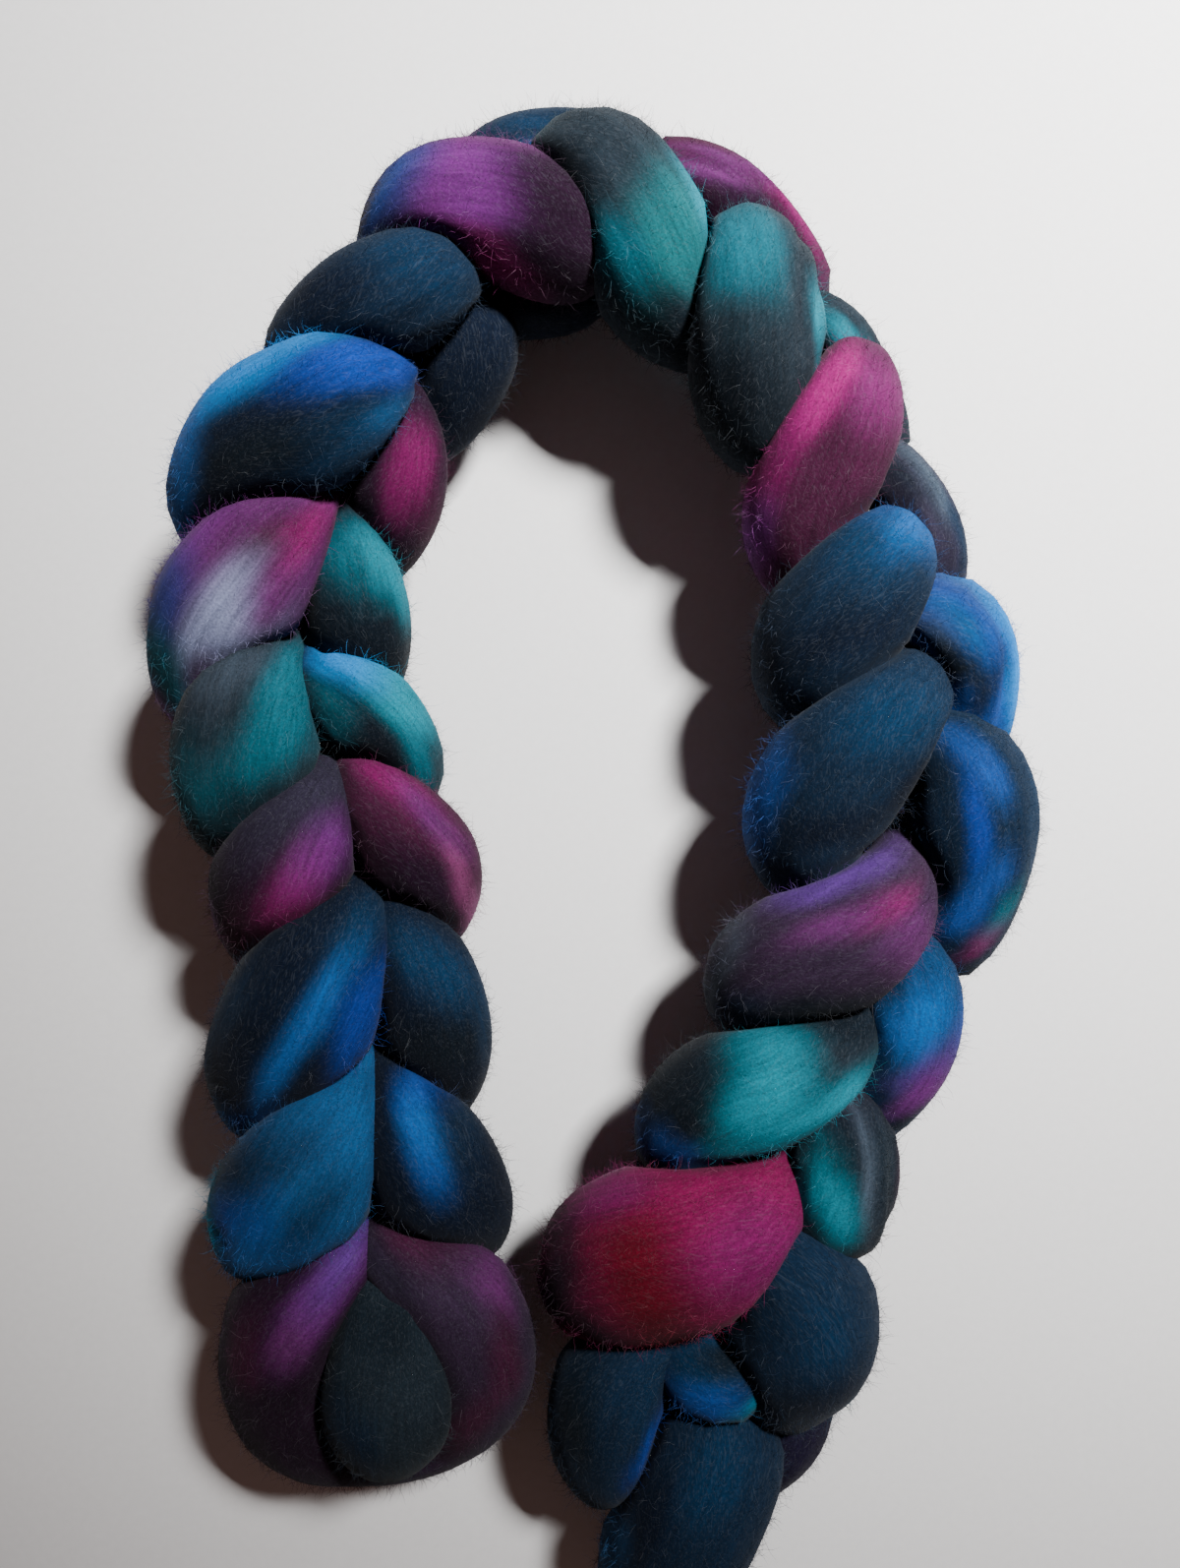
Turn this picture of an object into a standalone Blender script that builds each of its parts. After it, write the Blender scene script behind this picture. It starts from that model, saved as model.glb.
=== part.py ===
"""A braid of hand-dyed wool roving: one long strand, finger-chained and laid down in an arch.

Metres, +Z up. The chain starts at the near end of the right arm, runs up and over the arch and
ends at the near end of the left arm, where the end of the strand is pulled up through the last
loop. Each stitch is a left leg and a right leg that come up side by side out of the stitch
before it, and a back bump that carries the strand on to the next stitch. The chain lies on its
bumps along the left arm and rolls over onto one row of legs along the right arm.
"""
import math

import bmesh
import bpy
import numpy as np

MM = 0.001

# the chain
LEG_PITCH = 45.0           # length of chain, in mm, that the leg and bump tables are drawn for
LEAD_IN = 0.999            # how far the chain's line is known past its two ends, in stitches
SLOPE_STEP = 0.01          # step, in stitches, over which the line's direction is measured
STEPS_PER_POINT = 4        # strand sections between two rows of the tables
STRAND_SIDES = 16          # sides of the strand's section
CORE_RADIUS = 15 * MM      # hidden middle of the chain, where the legs press together
CORE_END = 0.4             # how far the middle runs past the first and last stitch, in stitches
WELD = 0.01 * MM           # merge distance at a tube's caps

# the fused outer form
VOXEL = 3.2 * MM
SMOOTH_PASSES = 4
KEPT_FACES = 0.12          # share of the fine surface's faces that the solid keeps
FLOOR_SLAB = 0.06          # thickness of the cutter that flattens the underside

WOOL_COLOUR = (0.012, 0.055, 0.085, 1.0)
WOOL_ROUGHNESS = 0.95

# Each stitch of the chain, from the start of the strand to its end.
# x, y, z: where its two legs come up, mm. roll: turn of the chain about its own line, degrees.
# lean: how far the legs lie over along the chain. left, right, bump: size of each lobe.
# plump: thickness of the left leg for its size. slide: how far its bump sits along the chain.
STITCH_COLUMNS = ("x", "y", "z", "roll", "lean", "left", "plump", "right", "bump", "slide")
STITCHES = {
    "17": (20, -153, 25, 100, -0.4, 0.93, 1.30, 0.90, 1.40, 0),
    "16": (39, -115, 30, 105, -0.3, 0.80, 1.20, 0.85, 1.05, -5),
    "15": (63, -72, 31, 110, -0.4, 0.80, 1.30, 0.85, 0.93, -4),
    "14": (77, -30, 31, 104, -0.1, 0.85, 1.20, 0.85, 1.12, 0),
    "13": (82, 20, 31, 108, 0.1, 0.72, 1.50, 0.75, 0.98, -3),
    "12": (77, 55, 31, 104, 0.1, 0.73, 1.30, 0.50, 0.75, -9),
    "11": (71, 101, 30, 105, 0.0, 0.80, 1.25, 0.50, 0.55, 0),
    "10": (44, 136, 30, 100, 0.1, 0.68, 1.45, 0.60, 0.75, 0),
    "9": (4, 162, 31, 85, -0.2, 0.68, 1.40, 0.70, 0.78, -4),
    "8": (-41, 147, 33, 60, 0.0, 0.80, 1.05, 0.78, 0.70, 0),
    "7": (-62, 112, 33, 36, 0.0, 1.00, 1.05, 0.75, 0.90, 0),
    "6": (-79, 73, 33, 25, 0.0, 0.90, 1.10, 0.80, 0.90, 0),
    "5": (-85, 30, 33, 15, -0.1, 1.02, 1.00, 0.75, 1.00, 0),
    "4": (-70, -3, 34, 5, 0.0, 1.00, 0.98, 0.82, 1.00, 0),
    "3": (-65, -38, 32, 17, -0.1, 1.00, 1.10, 0.85, 1.00, 0),
    "2": (-64, -89, 32, 12, -0.2, 1.05, 1.05, 0.95, 1.00, 0),
    "1": (-61, -133, 32, 2, -0.2, 1.00, 1.10, 1.00, 1.00, 0),
}

# One leg, one bump and the open last loop, in mm.
# along: forward along the chain. side: towards the leg's own side. out: towards the front.
LOBE_COLUMNS = ("along", "side", "out", "radius")
LEG = (
    (-8, 4, -2, 12),
    (3, 8, 13, 15),
    (16, 15, 18, 18.5),
    (30, 21, 10, 19.5),
    (44, 22, -4, 18),
    (53, 13, -12, 14),
)
HEAD = ((58, 0, -17, 13),)
BUMP = (
    (-8, -4, -10, 12),
    (-6, -5, -20, 15),
    (8, 0, -24, 16.5),
    (22, 6, -24, 16.5),
    (34, 8, -18, 14),
)
RING = (
    (-8, 3, -2, 12),
    (0, 9, 14, 14.5),
    (12, 19, 14, 17.5),
    (28, 24, 6, 19),
    (44, 22, -3, 19.5),
    (58, 13, -9, 19),
)
RING_HEAD = ((64, 0, -11, 18.5),)

# The strand before the first stitch: tail, slip loop and the band across the tail.
# After the last stitch: the end, pulled up through the open loop. Positions in mm.
FREE_COLUMNS = ("x", "y", "z", "radius")
TAIL = (
    (17, -253, 20, 7),
    (18, -249, 22, 13),
    (19, -240, 25, 17),
    (22, -223, 30, 19),
    (28, -205, 34, 22),
    (36, -186, 34, 20),
    (37, -170, 24, 14),
    (18, -158, 34, 15),
    (7, -168, 37, 17),
    (6, -190, 30, 17),
    (18, -205, 13, 14),
    (36, -205, 15, 15),
    (52, -192, 20, 15),
    (58, -177, 24, 14),
    (51, -159, 40, 12),
    (36, -164, 44, 13),
    (23, -161, 36, 12),
)
PULLED_END = (
    (-62, -134, 16, 12),
    (-57, -134, 34, 14),
    (-55, -143, 46, 18),
    (-55, -157, 49, 20),
    (-55, -170, 46, 19.5),
    (-55, -182, 40, 14),
    (-55, -189, 36, 5),
)


def clear_scene():
    """Remove the objects that a new file starts with."""
    for ob in list(bpy.data.objects):
        bpy.data.objects.remove(ob, do_unlink=True)


def between(before, here, there, after, t):
    """A point of the smooth curve from here to there that also heeds both neighbours."""
    slope = there - before
    bend = 2 * before - 5 * here + 4 * there - after
    twist = 3 * (here - there) + after - before
    return here + 0.5 * t * (slope + t * (bend + t * twist))


def chain_lines():
    """Middle line of the chain, with its roll, one row a stitch and one beyond each end."""
    rows = [np.array((x * MM, y * MM, z * MM, math.radians(roll)))
            for x, y, z, roll, *_ in STITCHES.values()]
    first = 2 * rows[0] - rows[1]
    last = 2 * rows[-1] - rows[-2]
    first[3] = rows[0][3]
    last[3] = rows[-1][3]
    return [first] + rows + [last]


def chain_frame(lines, place):
    """Point on the chain, its direction, and its side and front directions, at a place in stitches."""
    held = min(max(place, -LEAD_IN), len(STITCHES) - 1 + LEAD_IN)
    k = math.floor(held)
    t = held - k
    ends = [lines[min(max(k + j, 0), len(lines) - 1)] for j in range(4)]
    here = between(*ends, t)
    ahead = between(*ends, t + SLOPE_STEP)
    run = (ahead - here)[:3] / SLOPE_STEP
    run[2] = 0.0
    along = run / np.linalg.norm(run)
    point = here[:3] + run * (place - held)
    inner = np.array((-along[1], along[0], 0.0))
    up = np.array((0.0, 0.0, 1.0))
    out = math.cos(here[3]) * up + math.sin(here[3]) * inner
    return point, along, np.cross(along, out), out


def lobe(lines, stitch, rows, hand, fullness, lean, plump=1.0):
    """Strand points of one leg or bump: hand is 1 on the left, -1 on the right."""
    points = []
    for along_mm, side_mm, out_mm, radius_mm in rows:
        reach = along_mm + lean * abs(side_mm)
        point, along, side, out = chain_frame(lines, stitch + reach / LEG_PITCH)
        point = point + side * (hand * side_mm * fullness * MM) + out * (out_mm * fullness * MM)
        points.append((*point, radius_mm * fullness * plump * MM))
    return points


def strand_points():
    """The whole strand as a list of (x, y, z, radius), from its start to its pulled end."""
    lines = chain_lines()
    table = [dict(zip(STITCH_COLUMNS, row)) for row in STITCHES.values()]
    points = [tuple(v * MM for v in row) for row in TAIL]
    for i, row in enumerate(table):
        lean = row["lean"]
        is_last = i == len(table) - 1
        leg = RING if is_last else LEG
        head = RING_HEAD if is_last else HEAD
        if i > 0:
            past = table[i - 1]
            place = i - 1 + past["slide"] / LEG_PITCH
            points += lobe(lines, place, BUMP, 1, past["bump"], 0.0)
        points += lobe(lines, i, leg, 1, row["left"], lean, row["plump"])
        fullness = (row["left"] + row["right"]) / 2
        points += lobe(lines, i, head, 1, fullness, lean)
        points += lobe(lines, i, leg[::-1], -1, row["right"], lean)
    points += [tuple(v * MM for v in row) for row in PULLED_END]
    return np.array(points)


def smoothed(points):
    """The same points with smooth steps worked out between each two of them."""
    before = 2 * points[0] - points[1]
    after = 2 * points[-1] - points[-2]
    ends = np.vstack((before, points, after))
    steps = [between(*ends[i:i + 4], k / STEPS_PER_POINT)
             for i in range(len(points) - 1) for k in range(STEPS_PER_POINT)]
    return np.array(steps + [points[-1]])


def tube_mesh(name, points, keep_in):
    """A closed tube through (x, y, z, radius) points, made a mesh with its caps welded."""
    data = bpy.data.curves.new(name, "CURVE")
    data.dimensions = "3D"
    data.bevel_depth = 1.0
    data.bevel_resolution = STRAND_SIDES // 4 - 1
    data.use_fill_caps = True
    spline = data.splines.new("POLY")
    spline.points.add(len(points) - 1)
    for target, (x, y, z, radius) in zip(spline.points, points):
        target.co = (x, y, z, 1.0)
        target.radius = radius
    curve = bpy.data.objects.new(name, data)
    keep_in.objects.link(curve)
    bpy.context.view_layer.update()
    graph = bpy.context.evaluated_depsgraph_get()
    mesh = bpy.data.meshes.new_from_object(curve.evaluated_get(graph))
    matrix = curve.matrix_world.copy()
    bpy.data.objects.remove(curve, do_unlink=True)
    bpy.data.curves.remove(data)
    bm = bmesh.new()
    bm.from_mesh(mesh)
    bmesh.ops.remove_doubles(bm, verts=bm.verts, dist=WELD)
    bm.to_mesh(mesh)
    bm.free()
    return mesh, matrix


def joined(name, tubes):
    """One mesh that holds several tubes."""
    bm = bmesh.new()
    for mesh, matrix in tubes:
        mesh.transform(matrix)
        bm.from_mesh(mesh)
        bpy.data.meshes.remove(mesh)
    mesh = bpy.data.meshes.new(name)
    bm.to_mesh(mesh)
    bm.free()
    return mesh


def wool_material():
    """Soft, dull dyed wool."""
    material = bpy.data.materials.new("dyed_wool")
    material.use_nodes = True
    surface = material.node_tree.nodes["Principled BSDF"]
    surface.inputs["Base Color"].default_value = WOOL_COLOUR
    surface.inputs["Roughness"].default_value = WOOL_ROUGHNESS
    surface.inputs["Metallic"].default_value = 0.0
    return material


def floor_cutter(keep_in):
    """Slab under the surface that the braid lies on."""
    bm = bmesh.new()
    bmesh.ops.create_cube(bm, size=1.0)
    bmesh.ops.scale(bm, vec=(1.0, 1.0, FLOOR_SLAB), verts=bm.verts)
    bmesh.ops.translate(bm, vec=(0.0, 0.0, -FLOOR_SLAB / 2), verts=bm.verts)
    mesh = bpy.data.meshes.new("floor_cutter")
    bm.to_mesh(mesh)
    bm.free()
    cutter = bpy.data.objects.new("floor_cutter", mesh)
    cutter.hide_render = True
    cutter.display_type = "WIRE"
    keep_in.objects.link(cutter)
    return cutter


def centred(mesh):
    """Move a mesh so that the middle of its footprint is the origin."""
    corners = np.array([v.co[:] for v in mesh.vertices])
    low = corners.min(axis=0)
    high = corners.max(axis=0)
    middle = (low + high) / 2
    for vertex in mesh.vertices:
        vertex.co.x -= middle[0]
        vertex.co.y -= middle[1]


def build():
    clear_scene()
    parts = bpy.data.collections.new("wool_roving_braid")
    cutters = bpy.data.collections.new("cutters")
    bpy.context.scene.collection.children.link(parts)
    bpy.context.scene.collection.children.link(cutters)

    strand = smoothed(strand_points())
    lines = chain_lines()
    last_place = len(STITCHES) - 1 + CORE_END
    core_places = np.linspace(-CORE_END, last_place, STEPS_PER_POINT * len(STITCHES))
    core = [(*chain_frame(lines, place)[0], CORE_RADIUS) for place in core_places]
    tubes = [tube_mesh("strand", strand, parts), tube_mesh("core", core, parts)]

    rough = bpy.data.objects.new("rough", joined("rough", tubes))
    parts.objects.link(rough)
    fuse = rough.modifiers.new("fuse", "REMESH")
    fuse.mode = "VOXEL"
    fuse.voxel_size = VOXEL
    soften = rough.modifiers.new("soften", "SMOOTH")
    soften.factor = 0.5
    soften.iterations = SMOOTH_PASSES
    thin = rough.modifiers.new("thin", "DECIMATE")
    thin.ratio = KEPT_FACES
    flatten = rough.modifiers.new("flatten", "BOOLEAN")
    flatten.operation = "DIFFERENCE"
    flatten.solver = "EXACT"
    flatten.object = floor_cutter(cutters)

    bpy.context.view_layer.update()
    graph = bpy.context.evaluated_depsgraph_get()
    mesh = bpy.data.meshes.new_from_object(rough.evaluated_get(graph))
    mesh.name = "roving_braid"
    bpy.data.objects.remove(rough, do_unlink=True)
    centred(mesh)
    mesh.materials.clear()
    mesh.materials.append(wool_material())
    mesh.shade_smooth()
    braid = bpy.data.objects.new("roving_braid", mesh)
    parts.objects.link(braid)


build()
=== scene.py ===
# %% [markdown]
# # A braid of hand-dyed wool roving
#
# Roving is a thick, untwisted strand of combed wool, ready for spinning. Here one strand, almost
# five metres long, is dyed in splashes of petrol, turquoise, royal blue and plum. It has been
# chained by hand, loop through loop, so that it can be stored without tangling.
#
# A braid like this could be sculpted as a lumpy ring, but then its lobes never pass behind one
# another the way real loops do. This lesson sweeps the one strand along its true path instead:
# up through a loop as two legs, over the back as a bump, and on to the next stitch.

# %% Load the frame
import math

import bmesh
import bpy
import numpy as np
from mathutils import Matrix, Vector, noise


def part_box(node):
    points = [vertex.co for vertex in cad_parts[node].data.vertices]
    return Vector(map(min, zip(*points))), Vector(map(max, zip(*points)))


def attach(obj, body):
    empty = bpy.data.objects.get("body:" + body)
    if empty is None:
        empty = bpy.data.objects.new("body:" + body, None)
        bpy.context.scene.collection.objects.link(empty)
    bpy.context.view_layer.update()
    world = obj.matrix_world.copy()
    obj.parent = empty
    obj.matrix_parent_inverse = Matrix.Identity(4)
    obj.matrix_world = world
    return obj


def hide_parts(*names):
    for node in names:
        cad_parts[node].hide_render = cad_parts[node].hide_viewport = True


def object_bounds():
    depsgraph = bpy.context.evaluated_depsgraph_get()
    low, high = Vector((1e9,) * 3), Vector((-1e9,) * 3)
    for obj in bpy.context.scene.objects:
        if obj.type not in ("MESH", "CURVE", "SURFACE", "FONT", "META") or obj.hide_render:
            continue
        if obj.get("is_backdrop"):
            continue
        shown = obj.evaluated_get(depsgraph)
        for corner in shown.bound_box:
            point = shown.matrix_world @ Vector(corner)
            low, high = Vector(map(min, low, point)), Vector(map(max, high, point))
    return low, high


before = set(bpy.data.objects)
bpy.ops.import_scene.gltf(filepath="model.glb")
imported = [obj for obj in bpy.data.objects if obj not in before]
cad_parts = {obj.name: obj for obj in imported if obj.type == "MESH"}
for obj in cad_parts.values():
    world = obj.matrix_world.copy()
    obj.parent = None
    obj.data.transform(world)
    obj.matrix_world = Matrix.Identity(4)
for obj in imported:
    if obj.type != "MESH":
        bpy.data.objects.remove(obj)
cad_low, cad_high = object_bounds()
MM = 0.001


def eased(share):
    """A share from 0 to 1, made to start and end softly."""
    return share * share * (3 - 2 * share)


def linked(name, data):
    """A new object of the scene for a mesh, a light or a camera."""
    ob = bpy.data.objects.new(name, data)
    bpy.context.collection.objects.link(ob)
    return ob


def fill(items, field, values, kind=np.float32):
    """Write an array into one field of a mesh's corners, faces or layer."""
    items.foreach_set(field, values.astype(kind).ravel())


print("frame nodes:", sorted(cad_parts))
print("frame box, mm:", [round(v / MM, 1) for v in (cad_high - cad_low)])

# %% [markdown]
# ## The path of the strand
#
# Every stitch has the same make, so the path comes from a few short tables: where each stitch
# sits and how it is turned, the shape of one leg, of one back bump and of the open last loop.
# The start of the strand and its pulled-through end are laid in tables of their own.
# Lengths are in millimetres, measured in plan from a point inside the arch.

# %% Stitches of the chain
LEG_PITCH = 45.0      # length of chain that the leg and bump tables are drawn for, mm
LEAD_IN = 0.999       # how far the chain's line is known past its two ends, in stitches
SLOPE_STEP = 0.01     # step, in stitches, over which the line's direction is measured

# x, y, z: where the two legs come up. roll: turn of the chain about its own line, degrees.
# lean: how far the legs lie over along the chain. left, right, bump: size of each lobe.
# plump: thickness of the left leg for its size. slide: how far its bump sits along the chain.
STITCH_COLUMNS = ("x", "y", "z", "roll", "lean", "left", "plump", "right", "bump", "slide")
STITCHES = {
    "17": (20, -153, 25, 100, -0.4, 0.93, 1.30, 0.90, 1.40, 0),
    "16": (39, -115, 30, 105, -0.3, 0.80, 1.20, 0.85, 1.05, -5),
    "15": (63, -72, 31, 110, -0.4, 0.80, 1.30, 0.85, 0.93, -4),
    "14": (77, -30, 31, 104, -0.1, 0.85, 1.20, 0.85, 1.12, 0),
    "13": (82, 20, 31, 108, 0.1, 0.72, 1.50, 0.75, 0.98, -3),
    "12": (77, 55, 31, 104, 0.1, 0.73, 1.30, 0.50, 0.75, -9),
    "11": (71, 101, 30, 105, 0.0, 0.80, 1.25, 0.50, 0.55, 0),
    "10": (44, 136, 30, 100, 0.1, 0.68, 1.45, 0.60, 0.75, 0),
    "9": (4, 162, 31, 85, -0.2, 0.68, 1.40, 0.70, 0.78, -4),
    "8": (-41, 147, 33, 60, 0.0, 0.80, 1.05, 0.78, 0.70, 0),
    "7": (-62, 112, 33, 36, 0.0, 1.00, 1.05, 0.75, 0.90, 0),
    "6": (-79, 73, 33, 25, 0.0, 0.90, 1.10, 0.80, 0.90, 0),
    "5": (-85, 30, 33, 15, -0.1, 1.02, 1.00, 0.75, 1.00, 0),
    "4": (-70, -3, 34, 5, 0.0, 1.00, 0.98, 0.82, 1.00, 0),
    "3": (-65, -38, 32, 17, -0.1, 1.00, 1.10, 0.85, 1.00, 0),
    "2": (-64, -89, 32, 12, -0.2, 1.05, 1.05, 0.95, 1.00, 0),
    "1": (-61, -133, 32, 2, -0.2, 1.00, 1.10, 1.00, 1.00, 0),
}
print("stitches in the chain:", len(STITCHES))

# %% Shapes of one leg, one bump and the open last loop
# Each row is along: forward along the chain, side: towards the leg's own side, out: towards the
# front, and the strand's radius.
LEG = ((-8, 4, -2, 12), (3, 8, 13, 15), (16, 15, 18, 18.5),
       (30, 21, 10, 19.5), (44, 22, -4, 18), (53, 13, -12, 14))
HEAD = ((58, 0, -17, 13),)
BUMP = ((-8, -4, -10, 12), (-6, -5, -20, 15), (8, 0, -24, 16.5),
        (22, 6, -24, 16.5), (34, 8, -18, 14))
RING = ((-8, 3, -2, 12), (0, 9, 14, 14.5), (12, 19, 14, 17.5),
        (28, 24, 6, 19), (44, 22, -3, 19.5), (58, 13, -9, 19))
RING_HEAD = ((64, 0, -11, 18.5),)

# %% Start of the strand and its pulled-through end
# Each row is x, y, z and the strand's radius.
BEGINNING = {
    "tail": ((17, -253, 20, 7), (18, -249, 22, 13), (19, -240, 25, 17), (22, -223, 30, 19),
             (28, -205, 34, 22), (36, -186, 34, 20)),
    "slip back": ((37, -170, 24, 14), (18, -158, 34, 15)),
    "slip front": ((7, -168, 37, 17), (6, -190, 30, 17)),
    "under tail": ((18, -205, 13, 14), (36, -205, 15, 15), (52, -192, 20, 15), (58, -177, 24, 14)),
    "band": ((51, -159, 40, 12), (36, -164, 44, 13), (23, -161, 36, 12)),
}
PULLED_END = ((-62, -134, 16, 12), (-57, -134, 34, 14), (-55, -143, 46, 18),
              (-55, -157, 49, 20), (-55, -170, 46, 19.5), (-55, -182, 40, 14),
              (-55, -189, 36, 5))


# %% [markdown]
# A Catmull-Rom curve runs through every row of a table and only heeds the rows beside it, so one
# row can be moved without disturbing the rest. The same curve gives the middle line of the chain
# and, later, the strand itself.

# %% Curves through the tables
def between(before, here, there, after, t):
    """A point of the smooth curve from here to there that also heeds both neighbours."""
    slope = there - before
    bend = 2 * before - 5 * here + 4 * there - after
    twist = 3 * (here - there) + after - before
    return here + 0.5 * t * (slope + t * (bend + t * twist))


def chain_lines():
    """Middle line of the chain, with its roll, one row a stitch and one beyond each end."""
    rows = [np.array((x, y, z, math.radians(roll))) for x, y, z, roll, *_ in STITCHES.values()]
    first = 2 * rows[0] - rows[1]
    last = 2 * rows[-1] - rows[-2]
    first[3] = rows[0][3]
    last[3] = rows[-1][3]
    return [first] + rows + [last]


def chain_frame(lines, place):
    """Point on the chain with its side and front directions, at a place counted in stitches."""
    held = min(max(place, -LEAD_IN), len(STITCHES) - 1 + LEAD_IN)
    k = math.floor(held)
    ends = [lines[min(max(k + j, 0), len(lines) - 1)] for j in range(4)]
    here = between(*ends, held - k)
    run = (between(*ends, held - k + SLOPE_STEP) - here)[:3] / SLOPE_STEP
    run[2] = 0.0
    along = run / np.linalg.norm(run)
    inner = np.array((-along[1], along[0], 0.0))
    out = math.cos(here[3]) * np.array((0.0, 0.0, 1.0)) + math.sin(here[3]) * inner
    return here[:3] + run * (place - held), np.cross(along, out), out


# %% The strand, lobe by lobe
def lobe(lines, stitch, rows, hand, fullness, lean, plump=1.0):
    """Strand points of one leg or bump: hand is 1 on the left, -1 on the right."""
    points = []
    for along, side, out, radius in rows:
        reach = along + lean * abs(side)
        point, sideways, front = chain_frame(lines, stitch + reach / LEG_PITCH)
        point = point + sideways * (hand * side * fullness) + front * (out * fullness)
        points.append((*point, radius * fullness * plump))
    return points


def strand_points():
    """The whole strand as (x, y, z, radius) rows in mm, and the name of each row's lobe."""
    lines = chain_lines()
    points, names = [], []

    def lay(name, rows):
        points.extend(rows)
        names.extend([name] * len(rows))

    for name, rows in BEGINNING.items():
        lay(name, rows)
    labels = list(STITCHES)
    for i, label in enumerate(labels):
        row = dict(zip(STITCH_COLUMNS, STITCHES[label]))
        is_last = label == labels[-1]
        leg = RING if is_last else LEG
        head = RING_HEAD if is_last else HEAD
        if i > 0:
            past = dict(zip(STITCH_COLUMNS, STITCHES[labels[i - 1]]))
            place = i - 1 + past["slide"] / LEG_PITCH
            lay(labels[i - 1] + " bump", lobe(lines, place, BUMP, 1, past["bump"], 0.0))
        lay(label + " left", lobe(lines, i, leg, 1, row["left"], row["lean"], row["plump"]))
        fullness = (row["left"] + row["right"]) / 2
        lay(label + " right", lobe(lines, i, head, 1, fullness, row["lean"]))
        lay(label + " right", lobe(lines, i, leg[::-1], -1, row["right"], row["lean"]))
    lay("end", PULLED_END)
    return np.array(points, dtype=float), names


rows, row_lobes = strand_points()
print("rows along the strand:", len(rows), "lobes:", len(set(row_lobes)))

# %% [markdown]
# The rows are unevenly spaced, so the strand is walked once in fine steps and cut again into
# rings of equal spacing. Even rings keep the fibres and the dye at one scale from end to end.

# %% Even rings along the strand
FINE_STEPS = 14       # steps between two rows while the length is measured
RING_STEP = 3.4       # spacing of the rings, mm
SIDES = 64            # corners of one ring
TIP_LENGTH = 9.0      # length over which each end of the strand is rounded off, mm
TIP_RINGS = 6         # extra rings in a rounded end


def ring_places(total):
    """Distance of each ring along the strand, closer together in the two rounded ends."""
    dome = TIP_LENGTH * (1 - np.cos(np.linspace(0, math.pi / 2, TIP_RINGS, endpoint=False)))
    middle = np.linspace(TIP_LENGTH, total - TIP_LENGTH, int(total / RING_STEP))
    return np.concatenate((dome, middle, total - dome[::-1]))


def even_rings(rows, row_lobes):
    """Centres, radii, lobe numbers and distance along the strand of evenly spaced rings."""
    ends = np.vstack((2 * rows[0] - rows[1], rows, 2 * rows[-1] - rows[-2]))
    walk = np.array([between(*ends[i:i + 4], k / FINE_STEPS)
                     for i in range(len(rows) - 1) for k in range(FINE_STEPS)] + [rows[-1]])
    steps = np.linalg.norm(np.diff(walk[:, :3], axis=0), axis=1)
    length = np.concatenate(([0.0], np.cumsum(steps)))
    places = ring_places(length[-1])
    rings = np.stack([np.interp(places, length, walk[:, k]) for k in range(4)], axis=1)
    lobes = sorted(set(row_lobes))
    nearest = np.searchsorted(length, places).clip(0, len(walk) - 1)
    row_index = np.rint(nearest / FINE_STEPS).astype(int)
    lobe_of = np.array([lobes.index(row_lobes[k]) for k in row_index])
    return rings[:, :3], rings[:, 3], lobe_of, lobes, places


centres, radii, lobe_of, lobes, places = even_rings(rows, row_lobes)
to_tip = (np.minimum(places, places[-1] - places) / TIP_LENGTH).clip(0, 1)
tip_round = np.sqrt(1 - (1 - to_tip) ** 2)
radii = radii * tip_round
print("rings:", len(centres), "strand length, m:", round(places[-1] * MM, 2))


# %% [markdown]
# A ring needs a "right" and an "up" of its own. Turning each ring's pair by no more than its
# neighbour bends keeps the tube from wringing itself, so the fibres run straight along it.

# %% A pair of directions for every ring
def ring_frames(centres):
    """Direction along the strand and two directions across it, carried on without twisting."""
    along = np.gradient(centres, axis=0)
    along /= np.linalg.norm(along, axis=1)[:, None]
    first = np.cross(along[0], (0.0, 0.0, 1.0))
    across = [first / np.linalg.norm(first)]
    for direction in along[1:]:
        carried = across[-1] - direction * np.dot(across[-1], direction)
        across.append(carried / np.linalg.norm(carried))
    across = np.array(across)
    return along, across, np.cross(along, across)


along, across, upward = ring_frames(centres)
angles = np.arange(SIDES) * 2 * math.pi / SIDES
spokes = (np.cos(angles)[None, :, None] * across[:, None, :]
          + np.sin(angles)[None, :, None] * upward[:, None, :])
print("spokes:", spokes.shape)

# %% [markdown]
# ## Soft relief
#
# Combed wool is not a perfect tube. Long shallow ridges follow the fibres, each lobe swells a
# little unevenly, and where two lobes press together both turn in, which leaves the deep thin
# shadow line between them. Each of these is a small change of radius, in millimetres.

# %% Swells and ridges
SWELL = 0.9           # uneven fullness of a lobe, mm
SWELL_SIZE = 24.0     # size of one swell, mm
SWELL_START = 7.3     # where in the noise the swells begin
RIDGE = 0.55          # height of the ridges along the fibres, mm
RIDGE_STRETCH = 7.0   # how much longer than wide a ridge is
RIDGE_SIZE = 6.5      # width of one ridge, mm


def relief(place, x, y):
    """Height of swells and ridges at a distance along the strand and a point of its section."""
    swell = noise.noise((place / SWELL_SIZE, x / SWELL_SIZE, y / SWELL_SIZE + SWELL_START))
    ridge = noise.noise((place / RIDGE_SIZE / RIDGE_STRETCH, x / RIDGE_SIZE, y / RIDGE_SIZE))
    return SWELL * swell + RIDGE * ridge


section_x = radii[:, None] * np.cos(angles)[None, :]
section_y = radii[:, None] * np.sin(angles)[None, :]
heights = np.array([[relief(places[i], section_x[i, j], section_y[i, j]) for j in range(SIDES)]
                    for i in range(len(places))]) * tip_round[:, None]
surface = centres[:, None, :] + (radii[:, None] + heights)[:, :, None] * spokes
print("relief, mm: from", round(heights.min(), 2), "to", round(heights.max(), 2))

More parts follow.
